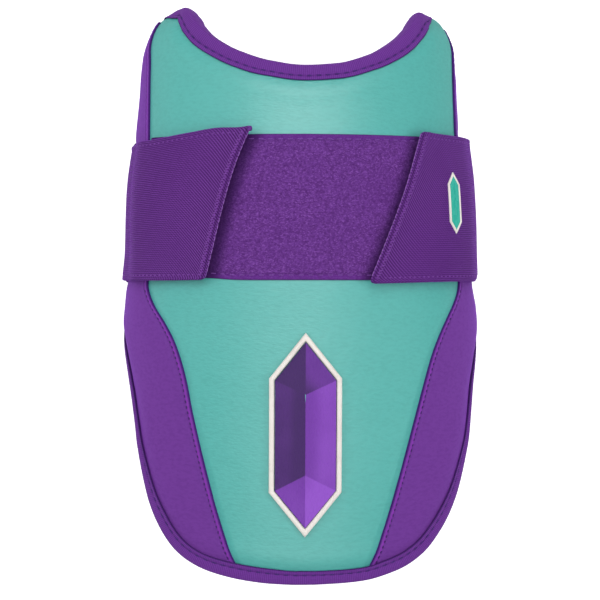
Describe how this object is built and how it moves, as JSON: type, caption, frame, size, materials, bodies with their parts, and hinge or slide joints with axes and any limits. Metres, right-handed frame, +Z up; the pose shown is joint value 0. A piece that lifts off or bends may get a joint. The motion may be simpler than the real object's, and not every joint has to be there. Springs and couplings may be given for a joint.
{
  "type": "elbow guard",
  "caption": "Padded half-tube elbow guard with two horns, a long tongue, bound edges and a wide elastic strap with slanted hook ends on a loop panel.",
  "frame": {"origin": "middle of the guard's length and width, on the surface it lies on", "axes": "+X across the arm, +Y along the arm towards the two horns, +Z up out of the front"},
  "size_m": [0.1584, 0.2478, 0.0627],
  "materials": {
    "padding_lining": "foam padding with a plain knitted lining, matte",
    "front_leather": "teal synthetic leather with a fine grain, satin",
    "side_leather": "purple synthetic leather with a fine grain, satin",
    "binding_tape": "finely ribbed woven tape, matte",
    "loop_pile": "short brushed loop pile, matte",
    "elastic_webbing": "ribbed knitted elastic, matte",
    "hook_tape": "hook tape, matte",
    "badge_rim": "moulded off-white rim, satin",
    "emblem_plastic": "moulded facets, half gloss",
    "badge_field": "flat moulded field, satin"
  },
  "bodies": {
    "root": {"pad_core": "padding_lining", "front_panel": "front_leather", "side_panel_left": "side_leather", "side_panel_right": "side_leather", "edge_binding": "binding_tape", "loop_panel": "loop_pile", "elastic_strap": "elastic_webbing", "hook_tab_left": "hook_tape", "hook_tab_right": "hook_tape", "emblem_border": "badge_rim", "emblem_facets": "emblem_plastic", "strap_badge_border": "badge_rim", "strap_badge_field": "badge_field"}
  },
  "joints": []
}
